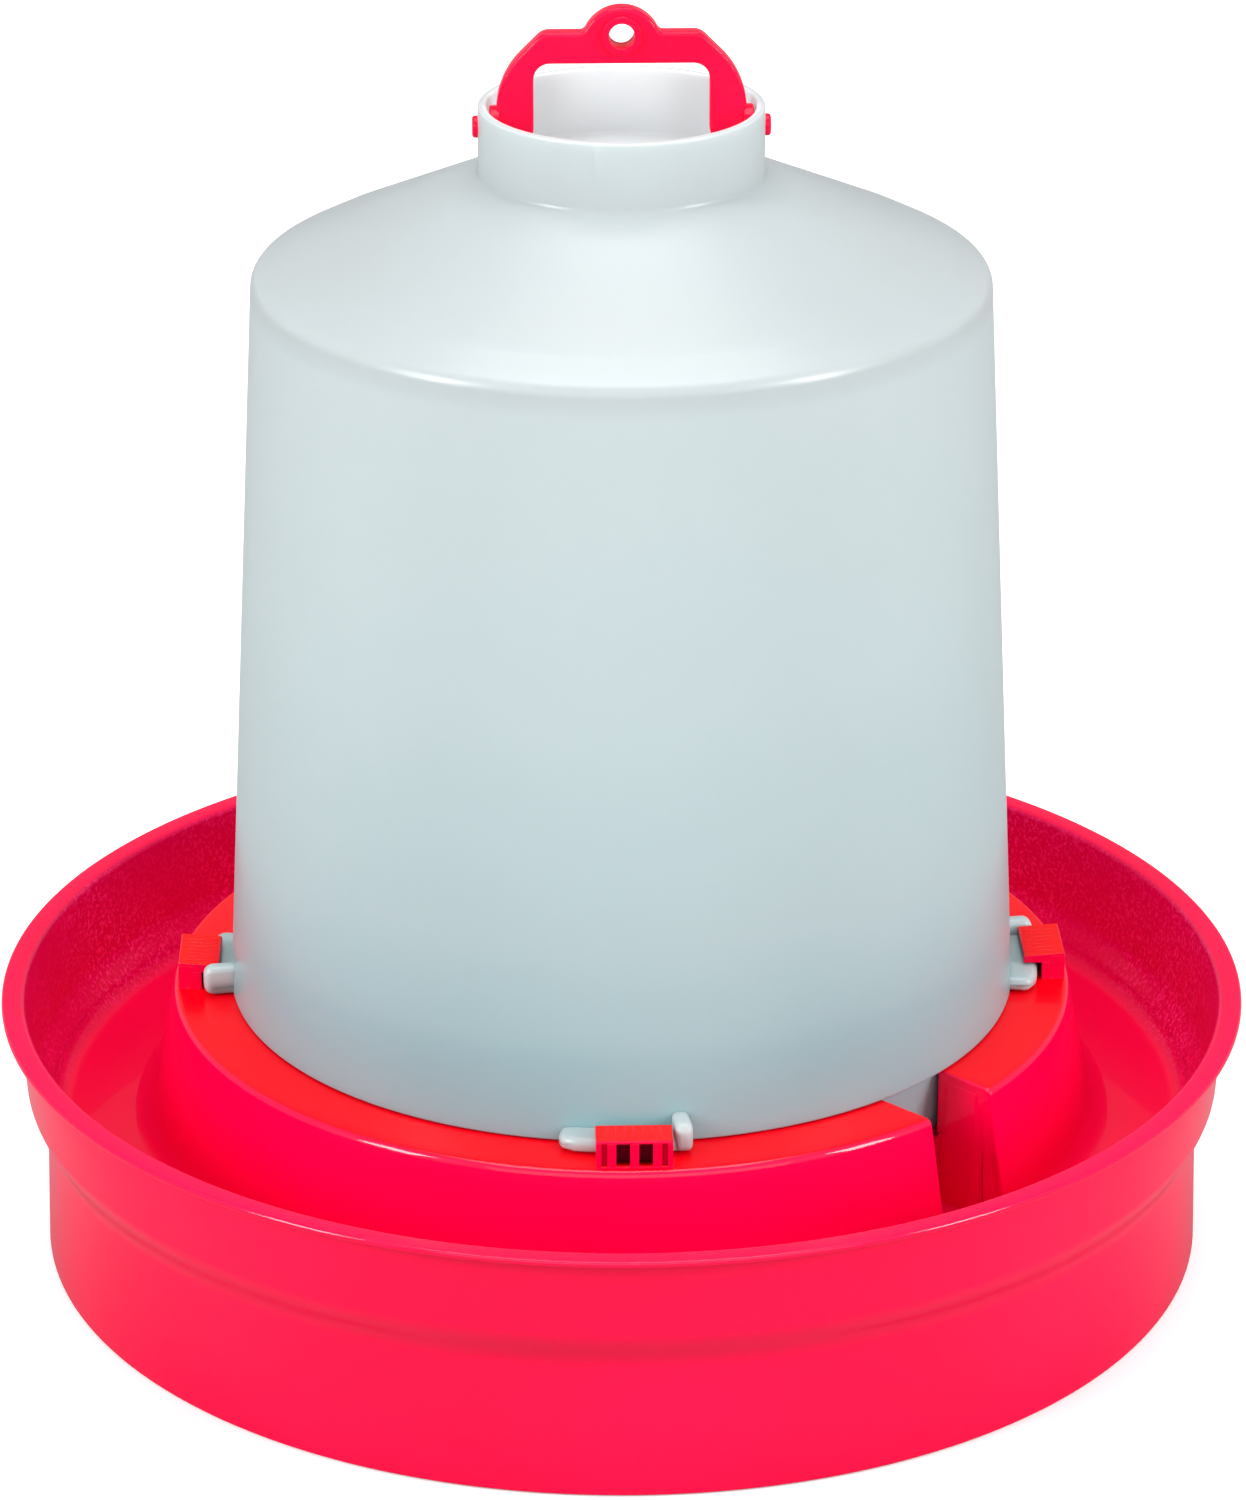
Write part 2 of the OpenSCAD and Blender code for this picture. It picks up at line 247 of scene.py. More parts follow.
def mapRange(tree, value, fromLow, fromHigh, toLow=0.0, toHigh=1.0):
    # a value moved from one range to another and held at its ends
    ends = {"From Min": fromLow, "From Max": fromHigh, "To Min": toLow, "To Max": toHigh}
    return addNode(tree, "MapRange", {0: value, **ends}).outputs[0]


def mixColors(tree, share, under, over):
    return addNode(tree, "Mix", {0: share, 6: under, 7: over}, data_type="RGBA").outputs[2]


def mixValues(tree, share, first, second):
    return addNode(tree, "Mix", {0: share, 2: first, 3: second}).outputs[0]


def colorRamp(tree, value, stops):
    # colour that follows a value, as (value from 0 to 1, colour) stops
    ramp = addNode(tree, "ValToRGB", {0: value})
    while len(ramp.color_ramp.elements) < len(stops):
        ramp.color_ramp.elements.new(0.5)
    for element, (at, color) in zip(ramp.color_ramp.elements, stops):
        element.position = at
        element.color = (*color, 1)
    return ramp.outputs[0]


def heightColor(tree, stops):
    # colour that follows height, as (height in mm, colour) stops
    lowest, highest = stops[0][0], stops[-1][0]
    height = mapRange(tree, split(tree, objectPlace(tree))["Z"], lowest * mm, highest * mm)
    return colorRamp(tree, height, [((z - lowest) / (highest - lowest), color) for z, color in stops])


def buildMouldedSkin():
    # slow waves of a cooled moulding with a fine skin texture, and a roughness that follows the waves
    group, inp, out = newGroup(
        "mouldedSkin",
        [("Wave Scale", "NodeSocketFloat", 12.0), ("Grain Scale", "NodeSocketFloat", 900.0),
         ("Grain Share", "NodeSocketFloat", 0.2), ("Base Roughness", "NodeSocketFloat", 0.25),
         ("Roughness Spread", "NodeSocketFloat", 0.1)],
        [("Height", "NodeSocketFloat"), ("Roughness", "NodeSocketFloat"), ("Waves", "NodeSocketFloat")])
    place = objectPlace(group)
    waves = noise(group, place, inp.outputs["Wave Scale"])
    grain = noise(group, place, inp.outputs["Grain Scale"], detail=1.0)
    centred = mathOf(group, "SUBTRACT", waves, 0.5)
    feed(group, out, {
        "Height": mixValues(group, inp.outputs["Grain Share"], waves, grain),
        "Roughness": mathOf(group, "MULTIPLY_ADD", centred, inp.outputs["Roughness Spread"],
                            inp.outputs["Base Roughness"]),
        "Waves": waves})
    return group


def buildSpeckle():
    # scattered fine specks with sharp edges, fainter in some patches than in others
    group, inp, out = newGroup(
        "speckle",
        [("Scale", "NodeSocketFloat", 700.0), ("Threshold", "NodeSocketFloat", 0.62)],
        [("Mask", "NodeSocketFloat")])
    place = objectPlace(group)
    fine, patches = noise(group, place, inp.outputs["Scale"], rough=0.7), noise(group, place, 22.0)
    over = mathOf(group, "SUBTRACT", fine, inp.outputs["Threshold"])
    specks = mathOf(group, "MULTIPLY", over, 9.0, clamp=True)
    strength = mapRange(group, patches, 0.35, 0.65, 0.25, 1.0)
    feed(group, out, {"Mask": mathOf(group, "MULTIPLY", specks, strength)})
    return group


mouldedSkin = buildMouldedSkin()
speckle = buildSpeckle()


def startMaterial(name):
    material = bpy.data.materials.new(name)
    material.use_nodes = True
    tree = material.node_tree
    return material, tree, tree.nodes["Principled BSDF"]


def placeSkin(tree, look):
    skin = tree.nodes.new("ShaderNodeGroup")
    skin.node_tree = mouldedSkin
    feed(tree, skin, {"Wave Scale": look["waveScale"], "Grain Scale": look["grainScale"],
                      "Grain Share": look["grainShare"], "Base Roughness": look["roughness"],
                      "Roughness Spread": look["spread"]})
    return skin.outputs


def placeSpeckle(tree, look):
    spots = tree.nodes.new("ShaderNodeGroup")
    spots.node_tree = speckle
    feed(tree, spots, {"Scale": look["speckScale"], "Threshold": look["speckFrom"]})
    return mapRange(tree, spots.outputs["Mask"], 0.0, 1.0, 0.0, look["specks"])


def skinBump(tree, skin, look):
    values = {"Height": skin["Height"], "Strength": look["bump"], "Distance": look["bumpDepth"]}
    return addNode(tree, "Bump", values).outputs[0]


panFinish = {
    "deep": (0.84, 0.0, 0.044), "bright": (0.98, 0.0, 0.072), "roughness": 0.32, "spread": 0.10,
    "specular": 0.05, "ior": 1.49, "waveScale": 11.0, "grainScale": 1100.0, "grainShare": 0.25,
    "bump": 0.16, "bumpDepth": 0.0006,
    # painted light: a warmer, lit red on faces that look up, between two heights and inside a radius
    "top": (0.96, 0.0, 0.004), "litTopShare": 0.92, "upFrom": 0.75, "upTo": 0.97,
    "lowZ": 55.0, "highZ": 62.0, "warmEndR": 130.0, "warmFade": 3.0,
    # painted shade: deeper red on faces that look towards the axis, with fine specks there
    "inside": (0.68, 0.0, 0.080), "insideShadeShare": 0.85, "inFrom": -0.3, "inTo": -0.9,
    "speck": (1.0, 0.03, 0.25), "speckScale": 900.0, "speckFrom": 0.50, "specks": 0.95,
    # gloss of upright walls, rounded edges, tops and walls that look inwards
    "coat": 0.42, "coatOnEdge": 0.8, "coatOnTop": 0.16, "coatInside": 0.1, "coatRoughness": 0.03,
    "lowTilt": (0.3, 0.9), "edgeTilt": (0.15, 0.40, 0.85, 0.96),
}
# the clip and bail copies keep the painted lit red on faces that look up, in their own reds
clipFinish = dict(
    panFinish, deep=(0.76, 0.0, 0.04), bright=(0.88, 0.001, 0.055), top=(0.94, 0.003, 0.002), litTopShare=1.0,
    roughness=0.34, waveScale=60.0, grainShare=0.45, specks=0.25, bump=0.22, insideShadeShare=0.0, coat=0.15,
    coatOnEdge=0.5, coatOnTop=0.08, coatRoughness=0.15)
bailFinish = dict(
    panFinish, deep=(0.82, 0.0, 0.035), bright=(0.97, 0.005, 0.065), top=(0.98, 0.0, 0.04), roughness=0.30,
    waveScale=45.0, grainShare=0.4, specks=0.12, bump=0.15, insideShadeShare=0.0, coat=0.12, coatOnEdge=0.35,
    coatOnTop=0.12)
platformFinish = dict(
    panFinish, roughness=0.33, waveScale=14.0, grainShare=0.5, specks=0.25, bump=0.2, coat=0.1,
    coatOnEdge=0.1, coatOnTop=0.05)


def buildRed(name, look):
    material, tree, shader = startMaterial(name)
    skin = placeSkin(tree, look)
    normal = addNode(tree, "NewGeometry").outputs["Normal"]
    tilt = split(tree, normal)["Z"]
    height = split(tree, objectPlace(tree))["Z"]
    flat = flatPlace(tree)
    # how far a face looks towards the axis: its normal times its place, over the distance
    toAxis = vectorOf(tree, "DOT_PRODUCT", vectorOf(tree, "NORMALIZE", flat), normal)
    inward = mapRange(tree, toAxis, look["inFrom"], look["inTo"], 0.0, look["insideShadeShare"])
    # the ledge is higher than the trough and nearer the axis than the rim
    high = mapRange(tree, height, look["lowZ"] * mm, look["highZ"] * mm)
    withinRim = mapRange(tree, vectorOf(tree, "LENGTH", flat),
                         (look["warmEndR"] + look["warmFade"]) * mm, look["warmEndR"] * mm)
    onLedge = mathOf(tree, "MULTIPLY", high, withinRim)
    litUpward = mapRange(tree, tilt, look["upFrom"], look["upTo"], 0.0, look["litTopShare"])
    fleck = mathOf(tree, "MULTIPLY", placeSpeckle(tree, look), inward)
    color = mixColors(tree, skin["Waves"], look["deep"], look["bright"])
    # painted shade: faces that look towards the axis take the deeper red
    color = mixColors(tree, inward, color, look["inside"])
    # painted light: faces that look up on the ledge, the clip tops and the bail take the warmer lit red
    color = mixColors(tree, mathOf(tree, "MULTIPLY", litUpward, onLedge), color, look["top"])
    color = mixColors(tree, fleck, color, look["speck"])
    # rounded edges are glossiest up high, and walls that look inwards are dull
    lowGloss = mapRange(tree, tilt, *look["lowTilt"], look["coat"], look["coatOnTop"])
    coats = (look["coat"], look["coatOnEdge"], look["coatOnEdge"], look["coatOnTop"])
    highGloss = colorRamp(tree, tilt, [(at, (coat,) * 3) for at, coat in zip(look["edgeTilt"], coats)])
    gloss = mixValues(tree, high, lowGloss, highGloss)
    feed(tree, shader, {
        "Base Color": color, "Roughness": skin["Roughness"], "Normal": skinBump(tree, skin, look),
        "Coat Weight": mixValues(tree, inward, gloss, look["coatInside"]),
        "Coat Roughness": look["coatRoughness"], "Specular IOR Level": look["specular"],
        "IOR": look["ior"]})
    return material


jugFinish = {
    # colour by height, with painted shade: skirt and low side darker where the pan keeps light off, with a
    # painted shade edge on the low side; then side, shoulder set darker against the light from above, and
    # collar
    "stops": ((50, (0.24, 0.43, 0.46)), (68, (0.20, 0.39, 0.43)), (72, (0.22, 0.42, 0.45)),
              (90, (0.25, 0.45, 0.48)), (95, (0.29, 0.475, 0.50)), (120, (0.38, 0.51, 0.53)),
              (180, (0.45, 0.55, 0.565)), (251, (0.49, 0.565, 0.58)), (257, (0.43, 0.475, 0.485)),
              (268, (0.42, 0.46, 0.47)), (284, (0.42, 0.465, 0.475)), (301, (0.50, 0.56, 0.57))),
    "cloud": (0.54, 0.60, 0.61), "cloudShare": 0.22, "cloudFrom": 0.3, "cloudTo": 0.7,
    "collarInsideLight": (0.66, 0.72, 0.73), "collarR": 33.9, "collarFade": 0.3,
    "roughness": 0.34, "spread": 0.08, "waveScale": 9.0, "grainScale": 700.0, "grainShare": 0.12,
    "bump": 0.12, "bumpDepth": 0.0008, "coat": 0.15, "coatRoughness": 0.20, "ior": 1.49,
    "through": 0.5, "depth": 0.006, "spreadColor": (1.0, 0.97, 0.95),
}
# painted shade: the lugs darker towards their underside
lugFinish = dict(jugFinish, stops=((69, (0.37, 0.47, 0.49)), (78, (0.45, 0.52, 0.53))), cloudShare=0.1)


def buildMilky(name, look):
    material, tree, shader = startMaterial(name)
    skin = placeSkin(tree, look)
    cloudy = mapRange(tree, skin["Waves"], look["cloudFrom"], look["cloudTo"], 0.0, look["cloudShare"])
    color = mixColors(tree, cloudy, heightColor(tree, look["stops"]), look["cloud"])
    # painted light: the collar's inside is lighter, standing in for light through its thinner wall
    collarR, fade = look["collarR"], look["collarFade"]
    within = mapRange(tree, vectorOf(tree, "LENGTH", flatPlace(tree)), (collarR + fade) * mm,
                      (collarR - fade) * mm)
    feed(tree, shader, {
        "Base Color": mixColors(tree, within, color, look["collarInsideLight"]),
        "Roughness": skin["Roughness"], "Normal": skinBump(tree, skin, look),
        "Subsurface Weight": look["through"], "Subsurface Scale": look["depth"],
        "Subsurface Radius": look["spreadColor"], "Coat Weight": look["coat"],
        "Coat Roughness": look["coatRoughness"], "IOR": look["ior"]})
    return material


clip = {
    "inR": 103.5, "postIn": 108.2, "postOut": 110.4, "outR": 114.1, "length": 18.6, "roofLow": 4.7,
    "roofIn": 6.6, "roofOut": 7.4, "roofChamfer": 0.4, "bevel": 0.35, "edge": 0.14,
    "pocketFloor": 0.5, "pocketTop": 6.5, "ribWidth": 2.2, "ribPitch": 5.5, "endRib": 1.3, "slotDepth": 1.2,
    "ridges": 8, "ridgeRise": 0.12, "ridgeHalf": 0.28, "ridgeEnd": 0.8, "ridgeStart": 0.9, "ridgeSink": 0.3,
    "overlap": 0.1, "footSink": 0.2,
    # painted shade in the pockets: its colour, its strength and the radii it fades between
    "pocketShadeColor": (0.10, 0.0, 0.012), "pocketShade": 0.95, "shadeFrom": 0.2, "shadeTo": 1.0,
}


def darkenPockets(material):
    # little light reaches the pockets: darker below their top and towards their inner wall
    tree = material.node_tree
    base = tree.nodes["Principled BSDF"].inputs["Base Color"]
    x, y, z = split(tree, objectPlace(tree))
    depth = mapRange(tree, vectorOf(tree, "LENGTH", flatPlace(tree)), (clip["outR"] - clip["shadeFrom"]) * mm,
                     (clip["postOut"] + clip["shadeTo"]) * mm, 0.0, clip["pocketShade"])
    topZ = ledgeHigh[2] + clip["pocketTop"]
    under = mapRange(tree, z, topZ * mm, (topZ - 0.3) * mm)
    # the clips sit on the X and Y axes, so the smaller of |x| and |y| is the distance from a clip's middle
    across = mathOf(tree, "MINIMUM", mathOf(tree, "ABSOLUTE", x), mathOf(tree, "ABSOLUTE", y))
    slotEnd = clip["length"] / 2 - clip["endRib"]
    between = mapRange(tree, across, (slotEnd + 0.05) * mm, (slotEnd - 0.05) * mm)
    share = mathOf(tree, "MULTIPLY", between, mathOf(tree, "MULTIPLY", depth, under))
    tree.links.new(mixColors(tree, share, base.links[0].from_socket, clip["pocketShadeColor"]), base)


panRed = buildRed("panRed", panFinish)
clipRed = buildRed("clipRed", clipFinish)
bailRed = buildRed("bailRed", bailFinish)
platformRed = buildRed("platformRed", platformFinish)
darkenPockets(clipRed)
milkyJug = buildMilky("milkyJug", jugFinish)
milkyLug = buildMilky("milkyLug", lugFinish)
print("materials made")


pan = {
    "wall": 2.3, "columns": 256, "gridStep": 5.0, "skirtLean": 0.9, "footRound": 0.7, "footInRound": 0.9,
    "lipThick": 1.7, "lipIn": 6.0, "lipRound": 0.75, "lipUnderRound": 2.6, "lipInRound": 1.7,
    "lipOutDrop": 7.0, "lipInDrop": 8.0, "floorRound": 6.0, "floorInnerR": 120.0,
    "bandTopIn": 4.5, "bandLowIn": 5.6, "bandLowZ": 46.5, "stepRows": 22, "stepRowsCut": 6,
}


def stepRadius(t, lowR, highR):
    # smooth curve from lowR to highR: t squared times (3 minus 2t)
    return lowR + (highR - lowR) * t * t * (3 - 2 * t)


def buildPanTrough():
    # one closed outline: curved step, outer band, lip, inner wall, trough floor, underside, foot skirt
    rimR, rimZ = wallHigh[0], wallHigh[2]
    footR, floorZ = footHigh[0], floorHigh[2]
    skirtR = footR - pan["skirtLean"]
    bandLowR, bandTopR = rimR - pan["bandLowIn"], rimR - pan["bandTopIn"]
    wall = pan["wall"]
    t = np.linspace(0, 1, pan["stepRows"])
    stepZ = floorZ + (pan["bandLowZ"] - floorZ) * t
    outerStep = np.column_stack([stepRadius(t, skirtR, bandLowR), stepZ])
    innerStep = outerStep - [wall, 0]
    lipUnder = rimZ - pan["lipThick"]
    lipRound, footRound = pan["lipRound"], pan["footRound"]
    lip = softOutline([(bandTopR, rimZ - pan["lipOutDrop"], 0), (bandTopR, lipUnder, pan["lipUnderRound"]),
                       (rimR, lipUnder, lipRound), (rimR, rimZ, lipRound),
                       (rimR - pan["lipIn"], rimZ, pan["lipInRound"]),
                       (bandTopR - wall, rimZ - pan["lipInDrop"], 0)], closed=False)
    cut = pan["stepRowsCut"]  # the lowest rows of the inner step give way to the rounded corner
    floorRound = softOutline([(*innerStep[cut], 0), (innerStep[0][0] - 0.1, floorZ, pan["floorRound"]),
                              (pan["floorInnerR"], floorZ, 0)], closed=False)
    under = floorLow[2]
    foot = softOutline([(pan["floorInnerR"], under, 0), (skirtR - wall, under, pan["footInRound"]),
                        (footR - wall, 0, footRound), (footR, 0, footRound), (skirtR, floorZ - 1, 0)],
                       closed=False)
    outline = np.vstack([outerStep, lip, innerStep[:cut - 1:-1], floorRound[1:], foot[:-1]])
    return makePiece("pan_trough", *turned(refine(outline, pan["gridStep"]), pan["columns"]), panRed)


plinth = {
    "notchWidth": 22.0, "notchStart": 84.0, "notchTurn": -45.0, "ledgeRound": 2.0, "wellRound": 0.9,
    "toeOut": 6.4, "toeRound": 7.5, "toeReach": 9.0, "toeDip": 0.35, "floorLift": 0.03, "notchRound": 0.85,
    "bendRows": 7, "columns": 230, "gridStep": 3.0, "thickness": 2.0,
}


def buildPanPlinth():
    # outline from the well, over the ledge and down to the trough floor, carried round the axis from one
    # side of the outlet notch to the other; near the notch it sinks by a quarter circle into the notch wall
    ledgeR, ledgeZ = ledgeHigh[0], ledgeHigh[2]
    wellR, platZ, floorZ = platHigh[0], platHigh[2], floorHigh[2] + plinth["floorLift"]
    footR = ledgeR + plinth["toeOut"]
    outline = softOutline([(wellR, platZ, 0), (wellR, ledgeZ, plinth["wellRound"]),
                           (ledgeR, ledgeZ, plinth["ledgeRound"]), (footR, floorZ, plinth["toeRound"]),
                           (footR + plinth["toeReach"], floorZ - plinth["toeDip"], 0)], closed=False)
    outline = refine(outline, plinth["gridStep"], closed=False)
    along = np.gradient(outline, axis=0)
    along /= np.linalg.norm(along, axis=1)[:, None]
    outward = np.column_stack([-along[:, 1], along[:, 0]])
    edge, half = plinth["notchRound"], plinth["notchWidth"] / 2
    bends = np.radians(np.linspace(0, 90, plinth["bendRows"]))
    rows = []
    for bend in bends:
        sunk = outline - outward * edge * (1 - math.sin(bend))
        sunk[:, 1] = np.maximum(sunk[:, 1], floorZ)
        away = half + edge * (1 - math.cos(bend))
        x = np.sqrt(sunk[:, 0] ** 2 - away ** 2)
        rows.append(np.column_stack([x, np.full(len(sunk), away), sunk[:, 1]]))
    firstAngle = np.arcsin((half + edge) / outline[:, 0])
    share = np.linspace(0, 1, plinth["columns"])[1:-1]
    for s in share:
        a = firstAngle + (2 * np.pi - 2 * firstAngle) * s
        x, y = outline[:, 0] * np.cos(a), outline[:, 0] * np.sin(a)
        rows.append(np.column_stack([x, y, outline[:, 1]]))
    for row in rows[len(bends) - 1::-1]:
        rows.append(row * [1, -1, 1])
    cols = len(outline)
    last = (len(rows) - 1) * cols
    verts = np.vstack(rows)
    faces = gridFaces(len(rows), cols).tolist()
    curvedCount = len(faces)
    # each notch wall is a strip from the edge row straight down to the floor line, and on under the
    # platform to the channel's inner end; the channel floor joins the two floor lines
    edgeRow = rows[0]
    standing = np.flatnonzero(edgeRow[:, 2] > floorZ + 1e-6)
    first = np.flatnonzero(edgeRow[:, 0] < edgeRow[0, 0] + 1e-6)[-1]
    foot = standing[-1] + 1
    n = len(verts)
    lineX = np.concatenate([[plinth["notchStart"], edgeRow[0, 0]], edgeRow[first + 1:foot, 0]])
    extra, lines = [], []
    for side, rowStart in ((1, 0), (-1, last)):
        base = n + len(extra)
        extra += [(x, side * half, floorZ) for x in lineX]
        extra.append((plinth["notchStart"], side * half, platZ))
        line = list(range(base, base + len(lineX)))
        top = base + len(lineX)
        row = list(range(rowStart, rowStart + cols))
        walls = [[line[0], line[1], row[0], top],
                 [line[1], line[2]] + row[first + 1::-1]]
        walls += [[line[k], line[k + 1], row[first + k], row[first + k - 1]]
                  for k in range(2, len(line) - 1)]
        walls.append([line[-1], row[foot], row[foot - 1]])
        faces += [w if side < 0 else w[::-1] for w in walls]
        lines.append(line + row[foot:])
    verts = np.vstack([verts, extra])
    plus, minus = lines
    faces += [[minus[k], minus[k + 1], plus[k + 1], plus[k]] for k in range(len(plus) - 1)]
    faces.append([plus[0], n + len(lineX), n + 2 * len(lineX) + 1, minus[0]])
    verts = turnPoints(verts, plinth["notchTurn"])
    piece = makePiece("pan_plinth", verts, faces, panRed)
    smooth = np.arange(len(piece.data.polygons)) < curvedCount
    piece.data.polygons.foreach_set("use_smooth", smooth)
    skin = piece.modifiers.new("wall", "SOLIDIFY")
    skin.thickness = plinth["thickness"] * mm
    skin.offset = -1
    return piece


def buildLockClip(name, turn, node):
    # roof over the lug with a fine ridged top, the wall behind the lug, and three ribs with pockets between
    base, half = ledgeHigh[2], clip["length"] / 2
    roof = np.array([[clip["inR"], clip["roofLow"]], [clip["postOut"], clip["roofLow"]],
                     [clip["postOut"], clip["pocketTop"]], [clip["outR"], clip["pocketTop"]],
                     [clip["outR"], clip["roofOut"] - clip["bevel"]],
                     [clip["outR"] - clip["bevel"], clip["roofOut"]],
                     [clip["inR"] + clip["roofChamfer"], clip["roofIn"]],
                     [clip["inR"], clip["roofIn"] - clip["roofChamfer"]]])
    ridgeAt = (np.arange(clip["ridges"] + 1) / clip["ridges"] - 0.5) * (clip["length"] - 1.6)
    parts = [prism(roof, -half, half)]
    slope = (clip["roofOut"] - clip["roofIn"]) / (clip["outR"] - clip["inR"])
    for y in ridgeAt[1:-1]:
        lowR, highR = clip["inR"] + clip["ridgeStart"], clip["outR"] - clip["ridgeEnd"]
        z0, z1 = (clip["roofIn"] + slope * (r - clip["inR"]) for r in (lowR, highR))
        rise, sink = clip["ridgeRise"], clip["ridgeSink"]
        ridge = np.array([[lowR, z0 - sink], [highR, z1 - sink], [highR, z1 + rise * 0.4],
                          [lowR, z0 + rise]])
        parts.append(prism(ridge, y - clip["ridgeHalf"], y + clip["ridgeHalf"]))
    lap, sunk = clip["overlap"], -clip["footSink"]
    parts.append(boxPart((clip["postIn"], -half, sunk), (clip["postOut"], half, clip["roofLow"] + lap)))
    parts.append(boxPart((clip["postOut"] - lap, -half, sunk), (clip["outR"], half, clip["pocketFloor"])))
    # ribs as (middle, width, how far back from the front): three main ones, two at the ends, and a
    # set-back one beside each end rib that leaves a shallow slot
    endY = half - clip["endRib"] / 2
    slotLow, slotHigh = clip["ribPitch"] + clip["ribWidth"] / 2, half - clip["endRib"]
    slotY, slotWidth = (slotLow + slotHigh) / 2, slotHigh - slotLow + 0.2
    ribs = [(k * clip["ribPitch"], clip["ribWidth"], 0.0) for k in (-1, 0, 1)]
    ribs += [(side * endY, clip["endRib"], 0.0) for side in (-1, 1)]
    ribs += [(side * slotY, slotWidth, clip["slotDepth"]) for side in (-1, 1)]
    for y, width, back in ribs:
        parts.append(boxPart((clip["postOut"] - lap, y - width / 2, clip["pocketFloor"] + sunk),
                             (clip["outR"] - back, y + width / 2, clip["pocketTop"] + lap)))
    verts, faces = joined(parts)
    verts = turnPoints(verts + [0, 0, base], turn)
    verts[:, 2] = np.minimum(verts[:, 2], boxMm(node)[1][2])
    piece = makePiece(name, verts, [f[::-1] for f in faces], clipRed)
    rounded(piece, clip["edge"], 2)
    return piece


jug = {
    "wall": 2.0, "columns": 288, "gridStep": 3.0, "lipR": 100.8, "lipRound": 0.55, "lipBelowSide": 2.2,
    "skirtR": 97.4, "skirtThick": 2.1, "skirtLean": 1.2, "skirtBend": 3.0, "skirtRound": 2.0, "skirtEnd": 0.6,
    "topR": 91.2, "topZ": 258.4, "shoulderRound": 3.9, "bendIn": 9.8, "bendUp": 5.0, "bendRound": 15.0,
    "insideBendRound": 12.0, "insideTopRound": 3.0, "rootRound": 1.6, "collarWall": 2.25, "collarRound": 0.6,
    "recessRound": 1.2, "underRound": 0.8,
    "markX": -6.7, "markWidth": 0.9, "markRise": 0.5, "markDrop": 8.0,
}


def buildJugShell():
    # one closed outline: skirt, lip, side, shoulder, collar and its floor, then the inside down again
    lipZ, lipR = sideLow[2] - jug["lipBelowSide"], jug["lipR"]
    skirtR, skirtZ = jug["skirtR"], jugSkirtLow[2]
    topR, topZ = jug["topR"], jug["topZ"]
    rootR, rootZ = collarHigh[0], collarLow[2] + jug["wall"]
    innerR, rimZ = rootR - jug["collarWall"], collarHigh[2]
    bendR, bendZ = topR - jug["bendIn"], topZ + jug["bendUp"]
    wall, thick, lean = jug["wall"], jug["skirtThick"], jug["skirtLean"]
    skirtBend, skirtRound, skirtEnd = jug["skirtBend"], jug["skirtRound"], jug["skirtEnd"]
    outline = softOutline([
        (skirtR - lean, skirtZ, skirtEnd), (skirtR, lipZ - skirtBend, skirtRound), (skirtR, lipZ, 0.2),
        (lipR, lipZ, jug["lipRound"]), (topR, topZ, jug["shoulderRound"]),
        (bendR, bendZ, jug["bendRound"]), (rootR, rootZ, jug["rootRound"]),
        (rootR, rimZ, jug["collarRound"]), (innerR, rimZ, jug["collarRound"]),
        (innerR, rootZ, jug["recessRound"]), (0.02, rootZ, 0), (0.02, rootZ - wall, 0),
        (rootR - 0.5, rootZ - wall, jug["underRound"]),
        (bendR - 0.8, bendZ - wall - 0.2, jug["insideBendRound"]),
        (topR - wall, topZ - 1.2, jug["insideTopRound"]),
        (skirtR - thick + 0.3, lipZ + skirtBend, skirtRound),
        (skirtR - thick, lipZ - skirtBend, skirtRound), (skirtR - lean - thick, skirtZ, skirtEnd)])

    def mouldMark(x, y, z):
        # a short raised line on the collar's front: a narrow bell across times a flat-topped one upwards
        middle = rimZ - 0.6 - jug["markDrop"] / 2
        bell = np.exp(-((x - jug["markX"]) / jug["markWidth"]) ** 2)
        tall = np.exp(-((z - middle) / (jug["markDrop"] / 2.2)) ** 4)
        radius = np.hypot(x, y) + 1e-9
        onFront = (y < 0) * (radius > rootR - 0.3) * (z > rootZ + 3)
        rise = jug["markRise"] * bell * tall * onFront
        return x * (1 + rise / radius), y * (1 + rise / radius), z

    verts, faces = turned(refine(outline, jug["gridStep"]), jug["columns"], mouldMark)
    return makePiece("jug_shell", verts, faces, milkyJug)


lug = {
    "lead": 10.1, "heel": 7.7, "finStart": 5.35, "outR": 107.4, "lowZ": 69.5, "topZ": 73.4, "finR": 108.2,
    "finTop": 77.2, "inR": 100.0, "barRound": 1.75, "finRound": 2.6, "endRound": 1.5, "leastRound": 0.12,
    "tip": 6.0, "tipIn": 3.4, "tipLow": 0.7,
}


def squareLoop(inR, outR, low, top, corner):
    # rounded rectangle in radius and height
    return softOutline([(inR, low, 0), (outR, low, corner), (outR, top, corner), (inR, top, 0)])


def softBar(fromDeg, toDeg, outR, low, top, corner, tip=0.0):
    # rounded section carried round the axis; near each end it shrinks by a quarter circle, and over the
    # tip length before the first end it also draws in by a quarter ellipse
    soft = lug["endRound"]
    length = math.radians(toDeg - fromDeg) * outR
    bend = soft * (1 - np.cos(np.linspace(0, np.pi / 2, 7)))
    along = np.concatenate([bend, np.linspace(soft, length - soft, 12)[1:-1], length - bend[::-1]])
    toEnd = np.minimum(np.minimum(along, length - along), soft)
    cuts = soft - np.sqrt(soft ** 2 - (soft - toEnd) ** 2)
    toTip = 1 - np.sqrt(1 - (1 - np.clip(along / tip, 0, 1)) ** 2) if tip else 0 * along
    loops = []
    for angle, cut, draw in zip(math.radians(fromDeg) + along / outR, cuts, toTip):
        loop = squareLoop(lug["inR"], outR - cut - draw * lug["tipIn"], low + cut + draw * lug["tipLow"],
                          top - cut - draw * lug["tipLow"], max(corner - cut, lug["leastRound"]))
        x, y = loop[:, 0] * math.cos(angle), loop[:, 0] * math.sin(angle)
        loops.append(np.column_stack([x, y, loop[:, 1]]))
    rows, cols = len(loops), len(loops[0])
    faces = gridFaces(rows, cols, wrapCols=True)[:, ::-1].tolist()
    faces += [list(range(cols)), list(range((rows - 1) * cols, rows * cols))[::-1]]
    return np.vstack(loops), faces


